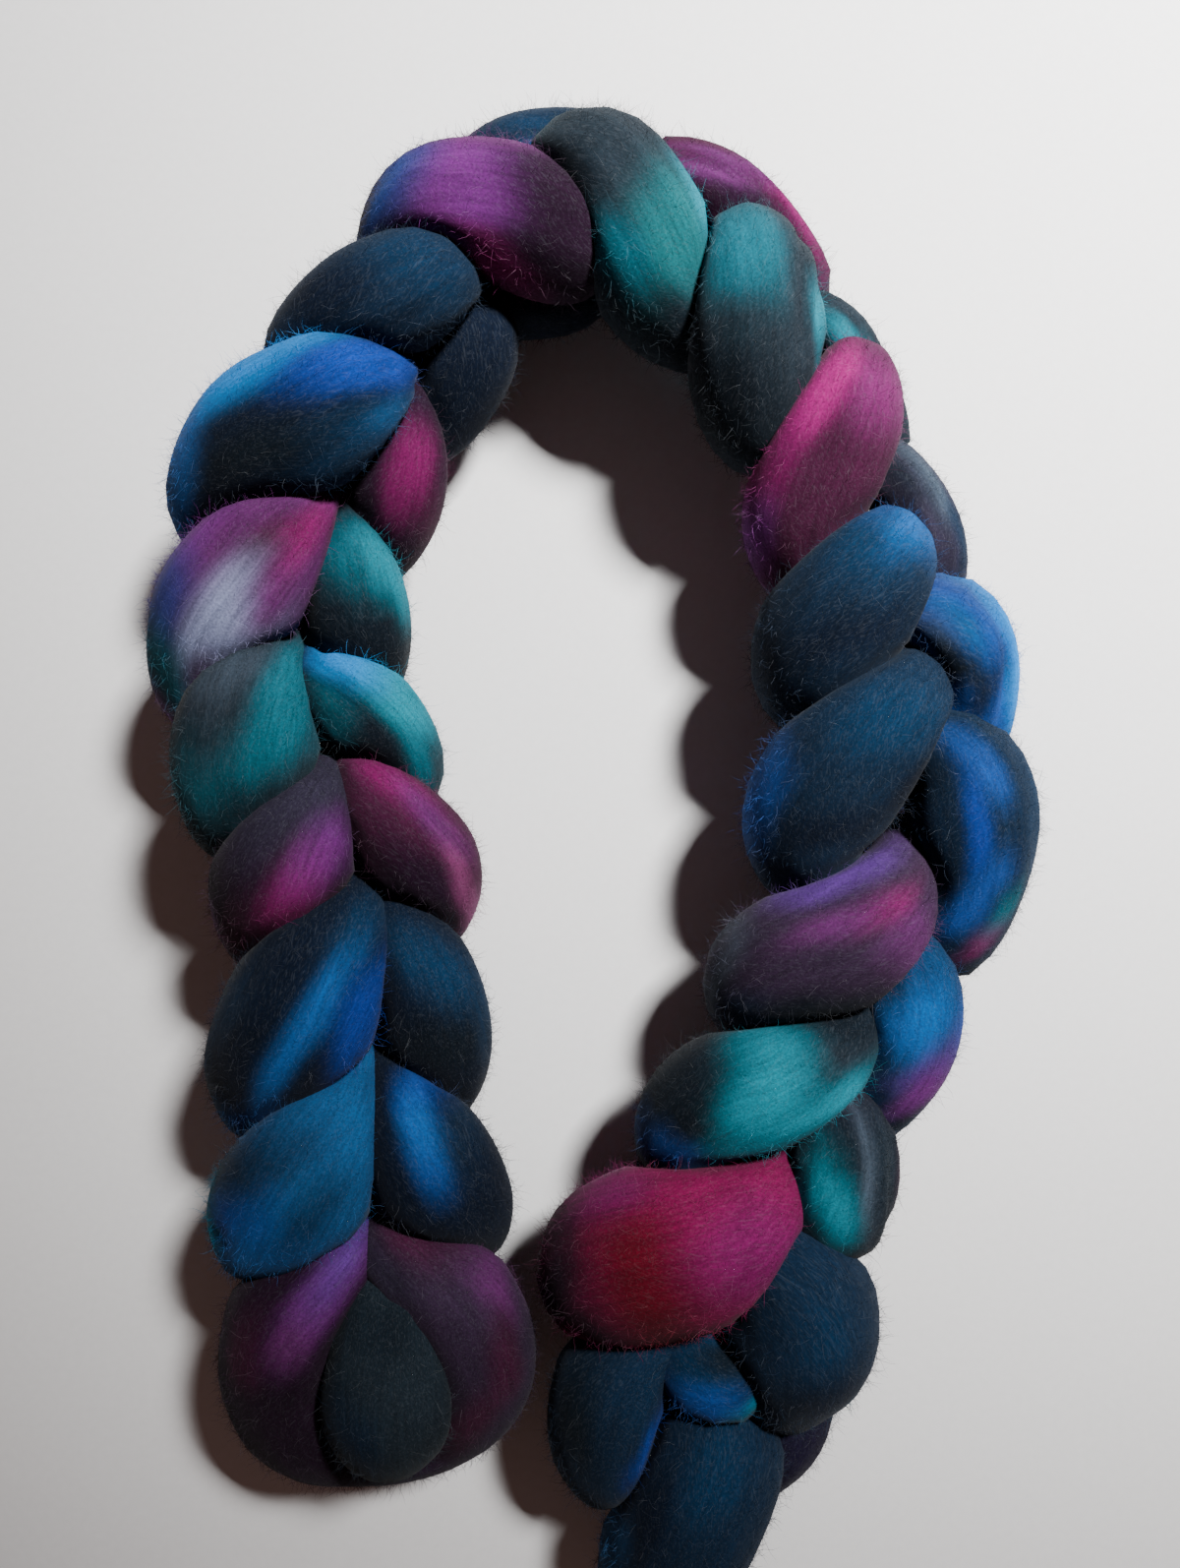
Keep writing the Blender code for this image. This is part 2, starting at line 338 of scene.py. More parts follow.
# %% Where lobes press together
NEIGHBOUR_GAP = 46.0  # rings nearer than this along the strand are the same lobe, mm
PRESS_REACH = 4.5     # distance from another lobe at which the surface starts to turn in, mm
PRESS_DEPTH = 2.4     # how far it has turned in where the two meet, mm
ROW_BLOCK = 40        # rings handled at once
FAR_AWAY = 99.0       # distance given where no other lobe is near, mm


def room_outside(surface):
    """Distance from each surface point to the nearest other lobe; negative is inside it."""
    room = np.full(surface.shape[:2], FAR_AWAY)
    for first in range(0, len(surface), ROW_BLOCK):
        block = surface[first:first + ROW_BLOCK]
        reach = np.abs(places[first:first + ROW_BLOCK, None] - places[None, :])
        flat = block.reshape(-1, 3)
        squared = ((flat ** 2).sum(1)[:, None] + (centres ** 2).sum(1)[None, :]
                   - 2 * flat @ centres.T)
        away = np.sqrt(squared.clip(0)) - radii[None, :]
        away = away.reshape(len(block), SIDES, -1)
        away[np.broadcast_to((reach < NEIGHBOUR_GAP)[:, None, :], away.shape)] = FAR_AWAY
        room[first:first + ROW_BLOCK] = away.min(2)
    return room


room = room_outside(surface)
pressed = eased(np.clip((PRESS_REACH - room) / (2 * PRESS_REACH), 0.0, 1.0))
surface -= (PRESS_DEPTH * pressed * tip_round[:, None])[:, :, None] * spokes
print("share of the surface hidden inside other lobes:", round(float((room < 0).mean()), 2))

# %% [markdown]
# Some lobes carry a crease of their own, where the strand folded as it was pulled through. A
# crease is drawn in plan, from one end to the other, and only dents the upper side of its lobe.

# %% Creases
CREASE_COLUMNS = ("lobe", "x1", "y1", "x2", "y2", "depth", "width")
CREASES = (
    ("7 left", -48, 110, -66, 100, 1.6, 1.8), ("7 left", -66, 100, -86, 96, 1.0, 2.0),
    ("6 left", -72, 74, -78, 58, 1.3, 1.6), ("6 left", -78, 58, -89, 42, 1.2, 1.6),
    ("5 right", -73, 37, -71, 27, 1.5, 1.5), ("5 right", -71, 27, -64, 20, 1.3, 1.6),
    ("3 left", -64, -46, -74, -66, 0.9, 2.2), ("3 left", -70, -76, -86, -86, 0.9, 2.0),
    ("2 left", -100, -119, -86, -126, 1.4, 2.0), ("2 left", -66, -92, -76, -110, 0.8, 2.2),
    ("1 right", -57, -121, -47, -139, 1.5, 1.6), ("11 left", 57, 152, 56, 116, 1.2, 1.8),
    ("11 left", 63, 142, 60, 114, 1.2, 1.6), ("10 bump", 27, 171, 50, 165, 1.8, 1.7),
    ("10 bump", 50, 165, 59, 150, 1.8, 1.7), ("12 bump", 88, 88, 94, 70, 1.3, 1.6),
    ("13 bump", 103, 54, 112, 40, 1.4, 1.8), ("13 bump", 112, 40, 113, 18, 1.4, 1.8),
    ("16 bump", 74, -94, 77, -122, 1.2, 1.6), ("16 bump", 81, -98, 82, -124, 1.4, 1.6),
    ("12 left", 66, 104, 58, 84, 0.8, 2.4), ("15 left", 82, -30, 62, -38, 0.7, 2.2),
)


def crease_depth(points, crease):
    """How deep one crease is at each point, in mm, from the point's plan position."""
    row = dict(zip(CREASE_COLUMNS, crease))
    start = np.array((row["x1"], row["y1"]), dtype=float)
    run = np.array((row["x2"], row["y2"])) - start
    share = ((points - start) @ run / (run @ run)).clip(0, 1)
    away = np.linalg.norm(points - start - share[..., None] * run, axis=-1)
    return row["depth"] * np.exp(-(away / row["width"]) ** 2)


for crease in CREASES:
    on_lobe = lobe_of == lobes.index(crease[0])
    dent = crease_depth(surface[on_lobe][:, :, :2], crease)
    dent *= (spokes[on_lobe][:, :, 2] > 0)
    surface[on_lobe] -= dent[:, :, None] * spokes[on_lobe]
surface[:, :, 2] = np.maximum(surface[:, :, 2], 0.0)
print("creases:", len(CREASES), "lowest point, mm:", round(float(surface[:, :, 2].min()), 2))

# %% [markdown]
# ## The woollen body
#
# A tube this long could be a curve with a bevel, but the dye and the relief need their own value
# at every corner. So a flat grid is made, one row for each ring, and rolled up: every corner is
# moved to its place on the surface. The grid's own UV map becomes the map of the unrolled strand.

# %% Roll a grid into the strand
WELD = 1e-6           # corners nearer than this are one corner, m


def plan_shift(surface):
    """How far the surface moves in plan to lie in the middle of the frame's box, in mm."""
    flat = surface.reshape(-1, 3)
    middle = (flat.min(0) + flat.max(0)) / 2
    low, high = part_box("roving_braid")
    box_middle = np.array((low + high) / 2) / MM
    return np.array((box_middle[0] - middle[0], box_middle[1] - middle[1], 0.0))


def rolled_grid(name, surface):
    """A closed tube through the rings of a surface, with its grid map kept as OFBake."""
    rings, sides = surface.shape[:2]
    bm = bmesh.new()
    bm.loops.layers.uv.new("OFBake")
    bmesh.ops.create_grid(bm, x_segments=sides, y_segments=rings - 1, size=1.0, calc_uvs=True)
    ring_number = bm.verts.layers.int.new("ring")
    side_number = bm.verts.layers.int.new("side")
    for vert in bm.verts:
        ring = round((vert.co.y + 1.0) / 2.0 * (rings - 1))
        side = round((vert.co.x + 1.0) / 2.0 * sides) % sides
        vert[ring_number], vert[side_number] = ring, side
        vert.co = surface[ring, side]
    bmesh.ops.remove_doubles(bm, verts=bm.verts, dist=WELD)
    bmesh.ops.recalc_face_normals(bm, faces=bm.faces)
    mesh = bpy.data.meshes.new(name)
    bm.to_mesh(mesh)
    bm.free()
    mesh.shade_smooth()
    return linked(name, mesh)


shift = plan_shift(surface)
body = rolled_grid("wool_strand", (surface + shift) * MM)
print("plan shift, mm:", np.round(shift, 2), "faces:", len(body.data.polygons))

# %% [markdown]
# ## Dyes
#
# The wool was painted before it was chained, so a colour starts and stops anywhere along the
# strand, and dyes that met have mixed. Each shade gets a name and a linear colour. It is then
# laid lobe by lobe: a ground dye first, and smaller splashes over it.
# Two of these colours are painted light, not dye: shade on one lobe and a highlight along one lit rim.

# %% The dye pots, and one colour for a painted highlight
DYES_AND_PAINTED_LIGHT = {
    "cerulean": (0.002, 0.14, 0.40), "sky": (0.003, 0.07, 0.24),
    "royal": (0.003, 0.03, 0.20), "blue": (0.004, 0.04, 0.18),
    "navy": (0.001, 0.004, 0.012), "petrol": (0.002, 0.010, 0.025),
    "steel": (0.001, 0.015, 0.040), "teal blue": (0.003, 0.05, 0.14),
    "teal": (0.002, 0.08, 0.11), "sea green": (0.002, 0.07, 0.08),
    "turquoise": (0.002, 0.15, 0.20), "slate": (0.008, 0.014, 0.020),
    "pale slate": (0.035, 0.05, 0.07), "charcoal": (0.002, 0.005, 0.009),
    "smoke": (0.015, 0.012, 0.024), "pearl": (0.18, 0.20, 0.32),
    "violet": (0.06, 0.02, 0.14), "indigo": (0.02, 0.025, 0.13),
    "orchid": (0.10, 0.013, 0.12), "mauve": (0.07, 0.011, 0.07),
    "rose": (0.09, 0.008, 0.06), "magenta": (0.11, 0.003, 0.055),
    # pink is no dye: it is a painted highlight, used only along the lit rim of 4 right.
    "hot pink": (0.23, 0.006, 0.11), "pink": (0.16, 0.03, 0.10),
    "cerise": (0.13, 0.002, 0.04), "crimson": (0.08, 0.001, 0.008),
    "plum": (0.010, 0.002, 0.010), "maroon": (0.035, 0.004, 0.020),
    "heather": (0.020, 0.010, 0.025), "aubergine": (0.006, 0.004, 0.015),
}
print("dyes:", len(DYES_AND_PAINTED_LIGHT))

# %% Lobes of one dye, one of them darkened as painted shade
ONE_DYE_AND_SHADE = {
    "petrol": ("slip back", "13 right", "2 bump"),
    "aubergine": ("under tail",),
    "plum": ("17 right",),
    "charcoal": ("16 right", "5 bump"),
    "heather": ("15 right",),
    # On 8 right this navy is painted shade: that lobe lies in shadow, and its ground is darkened to match.
    "navy": ("14 right", "9 right", "8 right", "6 bump", "3 bump"),
    "maroon": ("12 right", "4 bump"),
    "slate": ("11 right",),
    "teal": ("10 right",),
}
print("lobes of one dye:", sum(len(names) for names in ONE_DYE_AND_SHADE.values()), "of", len(lobes))

# %% Splashes on the left arm
# Each lobe has its ground dye first and then its splashes, the topmost last.
# x, y: middle of the splash in plan. long, wide: its size. turn: its direction, degrees.
SPLASH_COLUMNS = ("dye", "x", "y", "long", "wide", "turn")
LEFT_ARM = {
    "7 left": ("navy", ("steel", -62, 88, 40, 14, 25), ("charcoal", -86, 84, 34, 10, 10),
        ("cerulean", -92, 108, 56, 19, 24), ("sky", -110, 88, 42, 13, 80), ("royal", -62, 108, 34, 13, 20),
        ("teal blue", -50, 98, 14, 6, 60)),
    "7 right": ("plum", ("magenta", -49, 84, 26, 13, 70), ("maroon", -44, 72, 16, 9, 70)),
    "6 left": ("mauve", ("maroon", -82, 64, 18, 9, 45), ("orchid", -104, 66, 26, 14, 35),
        ("violet", -112, 57, 18, 13, 50), ("indigo", -112, 46, 30, 15, 70), ("pearl", -92, 43, 28, 19, 50),
        ("pearl", -104, 36, 22, 8, 30), ("teal", -114, 30, 26, 11, 110), ("magenta", -75, 63, 26, 7, 66),
        ("mauve", -83, 47, 20, 7, 58)),
    "6 right": ("charcoal", ("teal", -65, 63, 18, 15, 100), ("turquoise", -52, 54, 34, 8, 118),
        ("slate", -50, 37, 14, 8, 100), ("charcoal", -58, 41, 24, 11, 112)),
    # The last charcoal band of 5 left runs along the lobe's lower edge, at the crease.
    "5 left": ("slate", ("charcoal", -106, 18, 26, 18, 80), ("pale slate", -93, 29, 22, 8, 25),
        ("teal", -78, 22, 36, 15, 82), ("teal", -104, -2, 30, 11, -30), ("teal", -88, 5, 20, 9, 30),
        ("pale slate", -114, 10, 22, 4, 96), ("charcoal", -90, -4, 20, 6, 25)),
    "5 right": ("charcoal", ("cerulean", -64, 33, 24, 12, -20), ("turquoise", -50, 22, 28, 12, -55),
        ("teal", -69, 21, 18, 6, 97), ("teal", -47, 4, 16, 8, 100), ("slate", -40, 10, 36, 7, 100),
        ("charcoal", -58, 14, 22, 9, 125)),
    "4 left": ("plum", ("smoke", -78, -4, 44, 22, 35), ("orchid", -70, -19, 20, 11, 55),
        ("magenta", -79, -32, 24, 12, 48), ("maroon", -95, -40, 18, 12, 60), ("mauve", -104, -30, 30, 4, 95)),
    # On 4 right the thin pink band along the right rim is a painted highlight, where that rim faces the
    # light.
    "4 right": ("maroon", ("magenta", -54, 2, 26, 7, -35), ("plum", -46, -30, 34, 22, -50),
        ("pink", -34, -32, 38, 5, 100), ("mauve", -42, -10, 26, 5, -50)),
    "3 left": ("navy", ("petrol", -96, -58, 22, 12, 60), ("steel", -61, -40, 18, 10, 80),
        ("royal", -60, -63, 34, 9, 70), ("sky", -75, -66, 52, 7, 57), ("blue", -92, -92, 18, 9, 10),
        ("teal blue", -100, -93, 16, 5, 95), ("steel", -102, -72, 36, 3, 88)),
    "3 right": ("navy", ("steel", -45, -47, 26, 13, -30), ("steel", -34, -56, 20, 10, -50),
        ("steel", -27, -72, 36, 6, 95), ("charcoal", -42, -72, 26, 16, 10)),
    "2 left": ("teal blue", ("petrol", -88, -99, 38, 14, 20), ("royal", -92, -114, 18, 9, 0),
        ("sky", -86, -121, 30, 11, 5), ("turquoise", -103, -115, 24, 5, 97), ("petrol", -92, -139, 22, 8, 0),
        ("steel", -72, -112, 22, 10, 55)),
    "2 right": ("navy", ("royal", -47, -83, 12, 8, 0), ("sky", -45, -91, 20, 8, 112),
        ("blue", -42, -102, 12, 7, 100), ("petrol", -36, -90, 18, 10, 100), ("steel", -21, -108, 30, 3, 95)),
    "1 left": ("plum", ("indigo", -63, -119, 16, 6, 70), ("orchid", -69, -133, 30, 12, 52),
        ("violet", -66, -128, 16, 9, 60), ("mauve", -78, -146, 18, 10, 60),
        ("maroon", -92, -150, 22, 12, 80), ("heather", -98, -158, 26, 5, 100)),
    "1 right": ("heather", ("maroon", -44, -121, 24, 10, -10), ("smoke", -53, -130, 14, 8, -50),
        ("mauve", -25, -136, 20, 5, -58), ("maroon", -23, -155, 26, 7, 88),
        ("maroon", -34, -176, 34, 10, 48), ("plum", -60, -186, 44, 12, 0)),
    "end": ("slate", ("charcoal", -69, -160, 34, 9, 95), ("slate", -50, -160, 26, 18, 60),
        ("petrol", -62, -170, 24, 12, 110), ("charcoal", -55, -142, 22, 8, 0)),
}
print("splashed lobes on the left arm:", len(LEFT_ARM))

# %% Splashes on the top of the arch
ARCH = {
    "8 left": ("petrol", ("steel", -72, 142, 34, 8, 38), ("navy", -70, 128, 26, 14, 10),
        ("steel", -45, 134, 26, 12, -30)),
    "8 bump": ("teal", ("turquoise", -62, 152, 14, 7, 45)),
    "7 bump": ("plum", ("mauve", -91, 119, 12, 8, 45)),
    "9 left": ("plum", ("orchid", -35, 156, 34, 30, -40), ("indigo", -50, 161, 24, 12, 60),
        ("blue", -56, 158, 20, 4, 60), ("mauve", -28, 171, 30, 9, -10), ("plum", -10, 148, 34, 20, -62),
        ("magenta", -27, 141, 24, 5, -28)),
    "9 bump": ("petrol", ("steel", -13, 184, 24, 5, 0), ("sky", -12, 175, 13, 6, 10)),
    "10 left": ("slate", ("slate", 8, 172, 26, 9, -10), ("charcoal", -3, 158, 24, 8, -70),
        ("sea green", 22, 144, 34, 22, 75), ("turquoise", 31, 157, 28, 8, -68),
        ("teal", 8, 140, 20, 10, -60), ("charcoal", 28, 116, 36, 18, -55)),
    "10 bump": ("maroon", ("plum", 44, 161, 28, 8, -10), ("mauve", 41, 172, 34, 4, -12),
        ("mauve", 33, 168, 26, 5, -8), ("magenta", 58, 159, 22, 6, -60)),
    "11 left": ("slate", ("teal", 40, 138, 34, 20, 95), ("slate", 40, 124, 22, 10, 0),
        ("slate", 58, 136, 44, 8, 97), ("turquoise", 62, 127, 26, 3, 84), ("charcoal", 37, 106, 30, 20, -60)),
    "11 bump": ("slate", ("turquoise", 74, 122, 20, 7, -42)),
}
print("splashed lobes on the arch:", len(ARCH))

# %% Splashes on the right arm
RIGHT_ARM = {
    "12 left": ("maroon", ("rose", 76, 103, 22, 18, 0), ("maroon", 64, 83, 22, 12, 40),
        ("hot pink", 58, 101, 34, 13, 52), ("magenta", 48, 85, 26, 12, 75), ("orchid", 45, 69, 18, 9, -72)),
    "12 bump": ("smoke", ("pale slate", 93, 83, 26, 6, -60), ("charcoal", 86, 82, 14, 6, -60),
        ("petrol", 102, 68, 22, 5, -75)),
    "13 left": ("petrol", ("steel", 72, 62, 26, 22, 0), ("sky", 86, 72, 26, 11, -48),
        ("blue", 79, 77, 14, 7, -20), ("navy", 66, 38, 40, 12, 15)),
    "13 bump": ("blue", ("heather", 100, 54, 12, 7, -40), ("pale slate", 93, 42, 13, 7, 60),
        ("teal blue", 99, 43, 16, 6, -60), ("navy", 108, 28, 22, 8, 70), ("charcoal", 98, 32, 22, 8, -48),
        ("cerulean", 112, 46, 30, 6, -56), ("cerulean", 119, 27, 34, 9, -88)),
    "14 left": ("petrol", ("blue", 45, 0, 42, 12, 82), ("steel", 78, 17, 32, 18, 10),
        ("navy", 64, -12, 34, 10, 14), ("navy", 88, 1, 20, 9, 40)),
    "14 bump": ("petrol", ("blue", 103, 4, 20, 9, -42), ("royal", 101, -12, 26, 5, 100),
        ("blue", 103, -31, 24, 10, 52), ("steel", 121, -6, 40, 8, 88), ("teal", 112, -35, 16, 5, 58),
        ("magenta", 107, -44, 14, 5, 38)),
    "15 left": ("heather", ("heather", 48, -46, 34, 20, 60), ("violet", 61, -25, 40, 9, 16),
        ("magenta", 77, -32, 20, 6, 20), ("mauve", 64, -37, 26, 5, 24), ("mauve", 85, -42, 18, 14, -30),
        ("pale slate", 37, -46, 34, 4, 72), ("charcoal", 60, -60, 40, 9, 0), ("petrol", 38, -61, 14, 9, 40)),
    "15 bump": ("steel", ("sky", 88, -64, 22, 15, 40), ("blue", 103, -63, 22, 7, 75),
        ("violet", 90, -76, 24, 6, 24), ("orchid", 90, -84, 22, 8, 35), ("charcoal", 87, -92, 14, 6, 40)),
    "16 left": ("charcoal", ("slate", 66, -72, 24, 9, 0), ("turquoise", 46, -82, 40, 20, 82),
        ("turquoise", 60, -86, 36, 11, 28), ("teal", 38, -98, 18, 10, 0), ("charcoal", 25, -86, 26, 11, 60),
        ("blue", 20, -99, 24, 7, -16), ("smoke", 62, -98, 34, 7, 36)),
    "16 bump": ("charcoal", ("turquoise", 64, -112, 26, 11, -66), ("pale slate", 73, -104, 34, 4, -82),
        ("slate", 80, -106, 30, 5, -80), ("maroon", 85, -117, 34, 5, 84)),
    "17 left": ("cerise", ("crimson", 14, -130, 48, 24, -72), ("crimson", 30, -150, 34, 12, -8),
        ("plum", -9, -133, 44, 12, 84), ("plum", -2, -145, 22, 10, -20), ("magenta", 42, -121, 30, 26, 0),
        ("magenta", 5, -111, 22, 8, 25), ("mauve", 57, -131, 24, 5, 100)),
    "17 bump": ("petrol", ("steel", 62, -146, 22, 14, 60), ("navy", 64, -163, 22, 10, 0),
        ("teal", 71, -174, 12, 5, 30)),
}
print("splashed lobes on the right arm:", len(RIGHT_ARM))

# %% Splashes on the start of the strand
START = {
    "slip front": ("petrol", ("steel", 14, -165, 30, 8, 95), ("charcoal", -4, -172, 40, 9, 95),
        ("steel", -5, -192, 16, 4, -52), ("royal", 16, -182, 24, 4, 62)),
    "tail": ("petrol", ("royal", 13, -185, 36, 5, 60), ("steel", 34, -186, 26, 16, 60),
        ("navy", 16, -200, 30, 10, 70), ("teal blue", 5, -216, 22, 7, 80)),
    "band": ("steel", ("blue", 29, -166, 22, 10, 0), ("charcoal", 43, -158, 26, 8, -16),
        ("turquoise", 47, -166, 13, 4, 38)),
}
print("splashed lobes on the start:", len(START))

# %% [markdown]
# A splash of dye has no outline. It creeps along the fibres and feathers out, so each splash is
# an oval whose edge is shifted by noise before it is measured, and whose strength fades over the
# outer part. Where one lobe runs on into the next, the colours are blended along the strand.

# %% Paint the strand
CREEP = 3.2           # how far the edge of a splash wanders, mm
CREEP_SIZE = 9.0      # size of one wander, mm
FINE_CREEP = 0.15     # share of a finer wander, a third of that size
WANDER_SEED = 7       # seed of the noise that moves the edges
FEATHER = 0.45        # share of a splash's radius over which it fades
SOFT_AROUND = 0.5     # how far each colour moves to its neighbours' mean around the strand
SOFT_ALONG = 0.25     # and the weight of each neighbour along it
BLEND_PASSES = 10     # passes of blending where one lobe runs into the next
BLEND_RINGS = 3       # rings on each side of a join that are blended


def wandered(surface):
    """Plan positions of the surface points, moved about by soft noise."""
    moved = surface[:, :, :2].copy()
    for i, ring in enumerate(surface):
        for j, point in enumerate(ring):
            push = noise.noise_vector(Vector(point) / CREEP_SIZE)
            fine = noise.noise_vector(Vector(point) / (CREEP_SIZE / 3))
            moved[i, j, 0] += CREEP * (push.x + FINE_CREEP * fine.x)
            moved[i, j, 1] += CREEP * (push.y + FINE_CREEP * fine.y)
    return moved


def splash_strength(points, row):
    """How much of one splash's dye each point takes, from the point's wandered plan position."""
    away = points - (row["x"], row["y"])
    turn = math.radians(row["turn"])
    ahead = away @ (math.cos(turn), math.sin(turn)) / (row["long"] / 2)
    aside = away @ (-math.sin(turn), math.cos(turn)) / (row["wide"] / 2)
    reach = np.hypot(ahead, aside)
    return eased(((1 + FEATHER - reach) / (2 * FEATHER)).clip(0, 1))


def painted(surface):
    """Linear colour of each surface point: dye, plus painted shade on one lobe and painted highlight on one
    rim.
    """
    colour = np.zeros(surface.shape)
    for dye, names in ONE_DYE_AND_SHADE.items():
        for name in names:
            colour[lobe_of == lobes.index(name)] = DYES_AND_PAINTED_LIGHT[dye]
    moved = wandered(surface)
    for name, (ground, *splashes) in (LEFT_ARM | ARCH | RIGHT_ARM | START).items():
        on_lobe = lobe_of == lobes.index(name)
        colour[on_lobe] = DYES_AND_PAINTED_LIGHT[ground]
        for splash in splashes:
            row = dict(zip(SPLASH_COLUMNS, splash))
            strength = splash_strength(moved[on_lobe], row)[:, :, None]
            colour[on_lobe] += strength * (np.array(DYES_AND_PAINTED_LIGHT[row["dye"]]) - colour[on_lobe])
    beside = (np.roll(colour, 1, axis=1) + np.roll(colour, -1, axis=1)) / 2
    colour += SOFT_AROUND * (beside - colour)
    colour[1:-1] += SOFT_ALONG * (colour[:-2] + colour[2:] - 2 * colour[1:-1])
    joins = np.flatnonzero(np.diff(lobe_of))
    nearest = np.abs(np.arange(len(lobe_of))[:, None] - joins[None, :] - 0.5).min(1)
    share = np.clip(1 - nearest / (BLEND_RINGS + 1), 0, 1)[1:-1, None, None]
    for _ in range(BLEND_PASSES):
        mean = (colour[:-2] + colour[1:-1] + colour[2:]) / 3
        colour[1:-1] += share * (mean - colour[1:-1])
    return colour


noise.seed_set(WANDER_SEED)
colours = painted(surface)
print("dye colours:", colours.shape, "mean:", np.round(colours.mean((0, 1)), 3))


# %% [markdown]
# The colours go on the mesh as an attribute, and so do three things that the fibres need: the
# unrolled place of every corner, the strand's direction there, and how much open air there is.

# %% Attributes of the body
ROOM_FOR_HAIR = 2.0   # open distance to the next lobe at which hairs grow fully, mm
BARE_BELOW = 1.0      # height over the floor under which no hair grows, mm


def corner_values(ob, values):
    """Values given per ring and side, in the order of an object's corners."""
    count = len(ob.data.vertices)
    ring, side = np.empty(count, dtype=np.int32), np.empty(count, dtype=np.int32)
    ob.data.attributes["ring"].data.foreach_get("value", ring)
    ob.data.attributes["side"].data.foreach_get("value", side)
    return values[ring, side]


def store(ob, layers, name, kind, field, values):
    """Keep one value a corner in a new layer of an object's mesh."""
    fill(layers.new(name, kind, "POINT").data, field, corner_values(ob, values))


unrolled = np.stack((np.broadcast_to(places[:, None], section_x.shape), section_x, section_y),
                    axis=-1) * MM
grain = np.broadcast_to(along[:, None, :], surface.shape)
layers = body.data.attributes
store(body, layers, "unrolled", "FLOAT_VECTOR", "vector", unrolled)
store(body, layers, "grain", "FLOAT_VECTOR", "vector", grain)

# The dye attribute also carries the painted shade of 8 right and the painted highlight on 4 right.
rgba = np.concatenate((colours, np.ones(colours.shape[:2] + (1,))), axis=-1)
store(body, body.data.color_attributes, "dye", "FLOAT_COLOR", "color", rgba)

on_floor = surface[:, :, 2] < BARE_BELOW
air = (room / ROOM_FOR_HAIR).clip(0, 1) * ~on_floor
store(body, layers, "air", "FLOAT", "value", air)
print("share of the strand that shows:", round(float(air.mean()), 2))

# %% Lay out the unrolled map in rows
MAP_ROWS = 7          # the unrolled strand is cut into this many rows
MAP_MARGIN = 0.01     # empty edge of each row


def lay_out(ob, rings):
    """Move each face of the long unrolled map into its own row of the square."""
    layer = ob.data.uv_layers["OFBake"]
    uv = np.empty(len(ob.data.loops) * 2, dtype=np.float32)
    layer.data.foreach_get("uv", uv)
    around, ahead = uv.reshape(-1, 2).T.astype(float)
    starts = np.array([p.loop_start for p in ob.data.polygons])
    totals = np.array([p.loop_total for p in ob.data.polygons])
    ring = np.rint(ahead * (rings - 1))
    per_row = math.ceil((rings - 1) / MAP_ROWS)
    first = np.repeat(np.minimum.reduceat(ring, starts), totals)
    row = np.floor(first / per_row)
    placed = np.stack((
        MAP_MARGIN + (1 - 2 * MAP_MARGIN) * (ring - row * per_row) / per_row,
        (row + MAP_MARGIN + (1 - 2 * MAP_MARGIN) * around) / MAP_ROWS), axis=1)
    fill(layer.data, "uv", placed)


lay_out(body, len(places))
print("map rows:", MAP_ROWS)

# %% [markdown]
# ## Wool
#
# Wool shows three things close up: streaks where the fibres lie side by side, paler single fibres
# that cross them, and a soft dull sheen at its edges. The streaks are noise stretched along the
# strand, the crossing fibres are finer noise turned away from it, and specks in plain space and
# larger patches make the dye uneven.

# %% Material of the wool
# Sizes are in m. A range is the part of a noise that is used, and its shades are what it becomes.
STREAK_SIZE = (0.016, 0.0011, 0.0011)      # length and widths
SPECKLE_SIZE = 0.0006
TINT_SIZE = 0.022                          # one stronger or weaker patch of dye
NOISE_RANGE = (0.3, 0.7)
STREAK_SHADES = (0.80, 1.20)
SPECKLE_SHADES = (0.78, 1.22)
TINT_SHADES = (0.85, 1.15)
CROSSING_SIZE = (0.0035, 0.0004, 0.0004)   # one fibre across the grain
CROSSING_TURNS = ((0.5, 0.4, 0.7), (-0.6, 0.5, -0.6))   # in radians
CROSSING_RANGE = (0.56, 0.76)
CROSSING_SHADES = (0.0, 0.045)             # how much of their own colour shows
CROSSING_COLOUR = (0.30, 0.33, 0.37, 1.0)
STREAK_RELIEF = 0.2                        # height of a streak beside that of a speck
RELIEF = 0.0003
RELIEF_STRENGTH = 0.20


class Nodes:
    """Short calls for building a shader node by node."""

    def __init__(self, material):
        material.use_nodes = True
        self.tree = material.node_tree
        self.shader = self.tree.nodes["Principled BSDF"]

    def put(self, node, inputs):
        """Give a node's inputs their values or links; inputs are pairs of socket and either."""
        for socket, value in inputs:
            if isinstance(value, bpy.types.NodeSocket):
                self.tree.links.new(value, node.inputs[socket])
            else:
                node.inputs[socket].default_value = value

    def surface(self, looks):
        self.put(self.shader, looks.items())

    def add(self, kind, inputs=(), **settings):
        """A new node with its settings and inputs."""
        node = self.tree.nodes.new(kind)
        for name, value in settings.items():
            setattr(node, name, value)
        self.put(node, inputs)
        return node

    def math(self, operation, first, second):
        return self.add("ShaderNodeMath", ((0, first), (1, second)),
                        operation=operation).outputs[0]

    def scaled(self, vector, size):
        return self.add("ShaderNodeVectorMath", ((0, vector), (1, size)),
                        operation="DIVIDE").outputs[0]

    def turned(self, vector, angles):
        return self.add("ShaderNodeMapping", (("Vector", vector),
                        ("Rotation", angles))).outputs[0]

    def noise(self, vector, detail, distortion=0.0):
        return self.add("ShaderNodeTexNoise", (("Vector", vector), ("Scale", 1.0),
                        ("Detail", detail), ("Distortion", distortion))).outputs["Fac"]

    def mixed(self, share, first, second):
        return self.add("ShaderNodeMix", ((0, share), (6, first), (7, second)),
                        data_type="RGBA").outputs[2]

    def level(self, value, low, high, to_low, to_high):
        return self.add("ShaderNodeMapRange", ((0, value), (1, low), (2, high),
                        (3, to_low), (4, to_high))).outputs[0]


